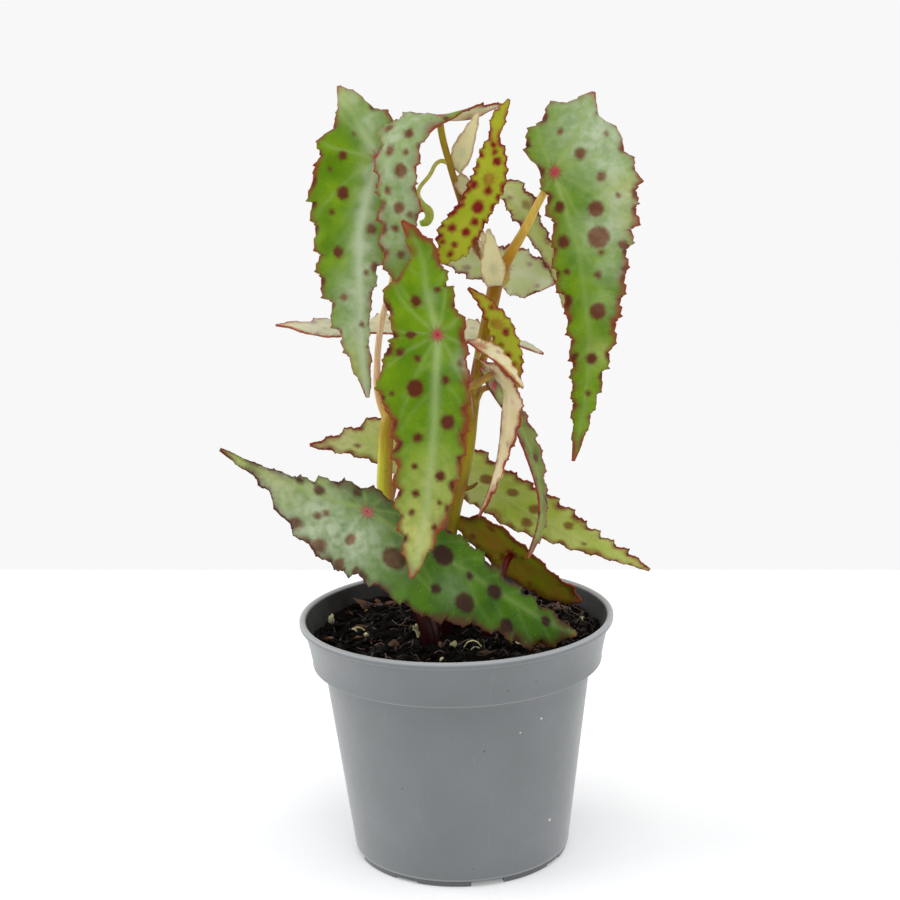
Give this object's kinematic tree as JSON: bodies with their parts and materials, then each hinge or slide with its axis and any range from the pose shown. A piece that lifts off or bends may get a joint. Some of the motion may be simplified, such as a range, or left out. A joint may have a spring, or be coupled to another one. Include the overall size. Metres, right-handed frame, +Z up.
{
  "type": "potted begonia",
  "caption": "Potted begonia: long pointed leaves with toothed red margins and dark spots, on upright canes in a round tapered nursery pot of soil.",
  "frame": {"origin": "middle of the pot's foot, on the surface that the pot stands on", "axes": "+Z up along the pot's axis; the plant's front faces -Y, with +X to the right of it"},
  "size_m": [0.1211, 0.0913, 0.2202],
  "materials": {
    "pot": "satin",
    "soil": "matte",
    "cane": "satin",
    "red_stalk": "satin",
    "leaf_green": "satin",
    "leaf_young": "satin",
    "leaf_dark": "satin"
  },
  "bodies": {
    "root": {"pot": "pot", "soil": "soil", "cane_main": "cane", "cane_second": "cane", "stalk_low_dark": "red_stalk", "leaf_upper_left": "leaf_green", "leaf_top_middle": "leaf_green", "leaf_front": "leaf_green", "leaf_right": "leaf_green", "leaf_low_front": "leaf_green", "leaf_low_back": "leaf_green", "leaf_back_right": "leaf_green", "leaf_back_middle": "leaf_green", "leaf_back_left": "leaf_green", "leaf_folded_small": "leaf_green", "leaf_folded_left": "leaf_green", "leaf_folded_right": "leaf_green", "leaf_young_top": "leaf_young", "leaf_young_low": "leaf_young", "leaf_low_dark": "leaf_dark"}
  },
  "joints": []
}
